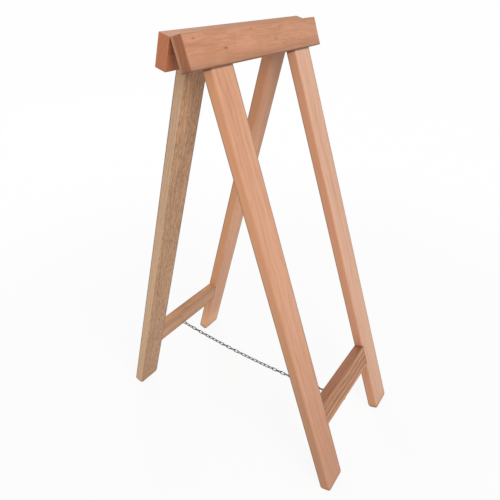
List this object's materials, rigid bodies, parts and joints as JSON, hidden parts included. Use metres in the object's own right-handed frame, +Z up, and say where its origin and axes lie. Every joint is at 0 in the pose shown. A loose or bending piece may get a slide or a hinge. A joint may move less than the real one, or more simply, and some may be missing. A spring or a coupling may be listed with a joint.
{
  "type": "folding wooden trestle",
  "caption": "Folding wooden trestle with two hinged frames of planed boards, held from spreading by a slack steel chain between the low rails.",
  "frame": {"origin": "on the floor, midway between the four feet", "axes": "+X along the ridge, +Z up, the front frame stands towards -Y"},
  "size_m": [0.335, 0.4876, 0.755],
  "materials": {
    "beam_wood": "planed, waxed",
    "leg_wood": "planed, waxed",
    "stretcher_wood": "planed, waxed",
    "hinge_steel": "zinc plated",
    "screw_steel": "zinc plated",
    "eye_steel": "dull",
    "chain_steel": "dull"
  },
  "bodies": {
    "back_frame": {"back_beam": "beam_wood", "back_left_leg": "leg_wood", "back_right_leg": "leg_wood", "back_stretcher": "stretcher_wood", "back_hinge_screws": "screw_steel", "back_screw_eye": "eye_steel", "left_hinge_back_leaf": "hinge_steel", "right_hinge_back_leaf": "hinge_steel", "left_hinge_pin": "hinge_steel", "right_hinge_pin": "hinge_steel"},
    "front_frame": {"front_beam": "beam_wood", "front_left_leg": "leg_wood", "front_right_leg": "leg_wood", "front_stretcher": "stretcher_wood", "front_hinge_screws": "screw_steel", "front_screw_eye": "eye_steel", "left_hinge_front_leaf": "hinge_steel", "right_hinge_front_leaf": "hinge_steel"},
    "chain_back_end": {"chain_back_end": "chain_steel"},
    "chain_back_inner_run": {"chain_back_inner_run": "chain_steel"},
    "chain_back_outer_run": {"chain_back_outer_run": "chain_steel"},
    "chain_turn": {"chain_turn": "chain_steel"},
    "chain_front_outer_run": {"chain_front_outer_run": "chain_steel"},
    "chain_front_inner_run": {"chain_front_inner_run": "chain_steel"},
    "chain_front_end": {"chain_front_end": "chain_steel"}
  },
  "joints": [
    {"name": "fold", "type": "hinge", "parent": "back_frame", "child": "front_frame", "pos_m": [0, 0, 0.74053], "axis": [1, 0, 0], "range_deg": [0, 33.6]},
    {"name": "back_end_swing", "type": "hinge", "parent": "back_frame", "child": "chain_back_end", "pos_m": [-0.0105, 0.20359, 0.10344], "axis": [1, 0, 0], "range_deg": [0, 125.06]},
    {"name": "back_inner_run_swing", "type": "hinge", "parent": "chain_back_end", "child": "chain_back_inner_run", "pos_m": [-0.0105, 0.19377, 0.1022], "axis": [0, 0.1186, -0.9929], "range_deg": [0, 55.81]},
    {"name": "back_outer_run_swing", "type": "hinge", "parent": "chain_back_inner_run", "child": "chain_back_outer_run", "pos_m": [-0.0105, 0.11496, 0.09447], "axis": [0, 0.0688, -0.9976], "range_deg": [-96.83, 0]},
    {"name": "turn_swing", "type": "hinge", "parent": "chain_back_outer_run", "child": "chain_turn", "pos_m": [-0.0105, 0.01607, 0.09037], "axis": [0, 0.0063, -1], "range_deg": [-108, 0]},
    {"name": "front_end_swing", "type": "hinge", "parent": "front_frame", "child": "chain_front_end", "pos_m": [-0.0105, -0.20359, 0.10344], "axis": [1, 0, 0], "range_deg": [-67.9, 0]},
    {"name": "front_inner_run_swing", "type": "hinge", "parent": "chain_front_end", "child": "chain_front_inner_run", "pos_m": [-0.0105, -0.19377, 0.1022], "axis": [0, -0.1186, -0.9929], "range_deg": [0, 81.33]},
    {"name": "front_outer_run_swing", "type": "hinge", "parent": "chain_front_inner_run", "child": "chain_front_outer_run", "pos_m": [-0.0105, -0.12239, 0.09503], "axis": [0, -0.0813, -0.9967], "range_deg": [-112.3, 0]}
  ],
  "couplings": [
    {"joint": "back_end_swing", "follows": "fold", "ratio": 3.722},
    {"joint": "back_inner_run_swing", "follows": "fold", "ratio": 1.6611},
    {"joint": "back_outer_run_swing", "follows": "fold", "ratio": -2.8819},
    {"joint": "turn_swing", "follows": "fold", "ratio": -3.2143},
    {"joint": "front_end_swing", "follows": "fold", "ratio": -2.0208},
    {"joint": "front_inner_run_swing", "follows": "fold", "ratio": 2.4204},
    {"joint": "front_outer_run_swing", "follows": "fold", "ratio": -3.3423}
  ]
}
